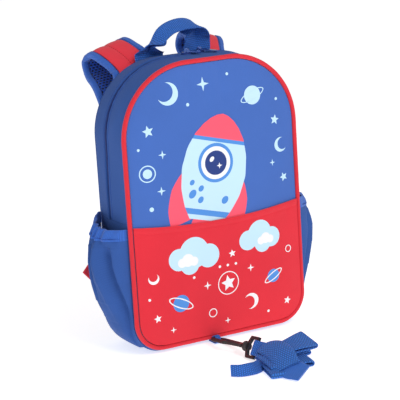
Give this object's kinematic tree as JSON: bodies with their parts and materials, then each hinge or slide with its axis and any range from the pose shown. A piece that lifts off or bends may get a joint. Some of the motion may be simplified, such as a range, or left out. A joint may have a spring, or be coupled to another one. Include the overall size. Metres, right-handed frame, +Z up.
{
  "type": "toddler harness backpack",
  "caption": "Small two-colour cloth backpack with round top, flat front pocket, side pockets, padded straps, grab handle and a clip-on leash folded up in front of its base.",
  "frame": {"origin": "middle of the flat base that the bag stands on", "axes": "+Z up, front face with its pocket towards -Y, +X to the right as seen from the front"},
  "size_m": [0.271, 0.3087, 0.343],
  "materials": {
    "panel_blue": "fine plain weave",
    "gusset_blue": "fine plain weave",
    "pocket_red": "fine plain weave, printed",
    "trim_red": "satin-like cord and webbing",
    "zip_cloth": "zip tape with coil teeth",
    "mesh_blue": "air mesh",
    "webbing_blue": "ribbed webbing",
    "black_plastic": "satin moulded plastic",
    "slider_metal": "glossy paint"
  },
  "bodies": {
    "bag": {"front_panel": "panel_blue", "front_pocket": "pocket_red", "front_piping": "trim_red", "front_zip_band": "gusset_blue", "zip_tape": "zip_cloth", "rear_zip_band": "gusset_blue", "lower_gusset": "gusset_blue", "back_panel": "gusset_blue", "side_pocket_left": "gusset_blue", "side_pocket_right": "gusset_blue", "pocket_binding_left": "webbing_blue", "pocket_binding_right": "webbing_blue", "strap_face_left": "trim_red", "strap_face_right": "trim_red", "strap_lining_left": "mesh_blue", "strap_lining_right": "mesh_blue", "strap_binding_outer_left": "webbing_blue", "strap_binding_outer_right": "webbing_blue", "strap_binding_inner_left": "webbing_blue", "strap_binding_inner_right": "webbing_blue", "grab_handle": "webbing_blue", "strap_adjuster_left": "black_plastic", "strap_adjuster_right": "black_plastic", "strap_tab_left": "webbing_blue", "strap_tab_right": "webbing_blue", "strap_webbing_left": "webbing_blue", "strap_webbing_right": "webbing_blue", "anchor_wing_left": "pocket_red", "anchor_wing_right": "pocket_red", "zip_slider_left": "slider_metal", "zip_slider_right": "slider_metal", "tether_loop": "webbing_blue", "snap_hook": "black_plastic", "hook_swivel": "black_plastic", "leash_lead": "webbing_blue", "leash_band": "webbing_blue", "leash_fold_upper": "webbing_blue", "leash_fold_middle": "webbing_blue", "leash_fold_lower": "webbing_blue", "leash_fold_right": "webbing_blue", "leash_tail": "webbing_blue"},
    "pull_left": {"zip_pull_left": "slider_metal"},
    "pull_right": {"zip_pull_right": "slider_metal"}
  },
  "joints": [
    {"name": "zip_pull_left", "type": "hinge", "parent": "bag", "child": "pull_left", "pos_m": [-0.0015, 0.0055, 0.31174], "axis": [-0.788, -0.6157, 0], "range_deg": [0, 150]},
    {"name": "zip_pull_right", "type": "hinge", "parent": "bag", "child": "pull_right", "pos_m": [0.0135, 0.0055, 0.31174], "axis": [-0.788, -0.6157, 0], "range_deg": [0, 150]}
  ]
}
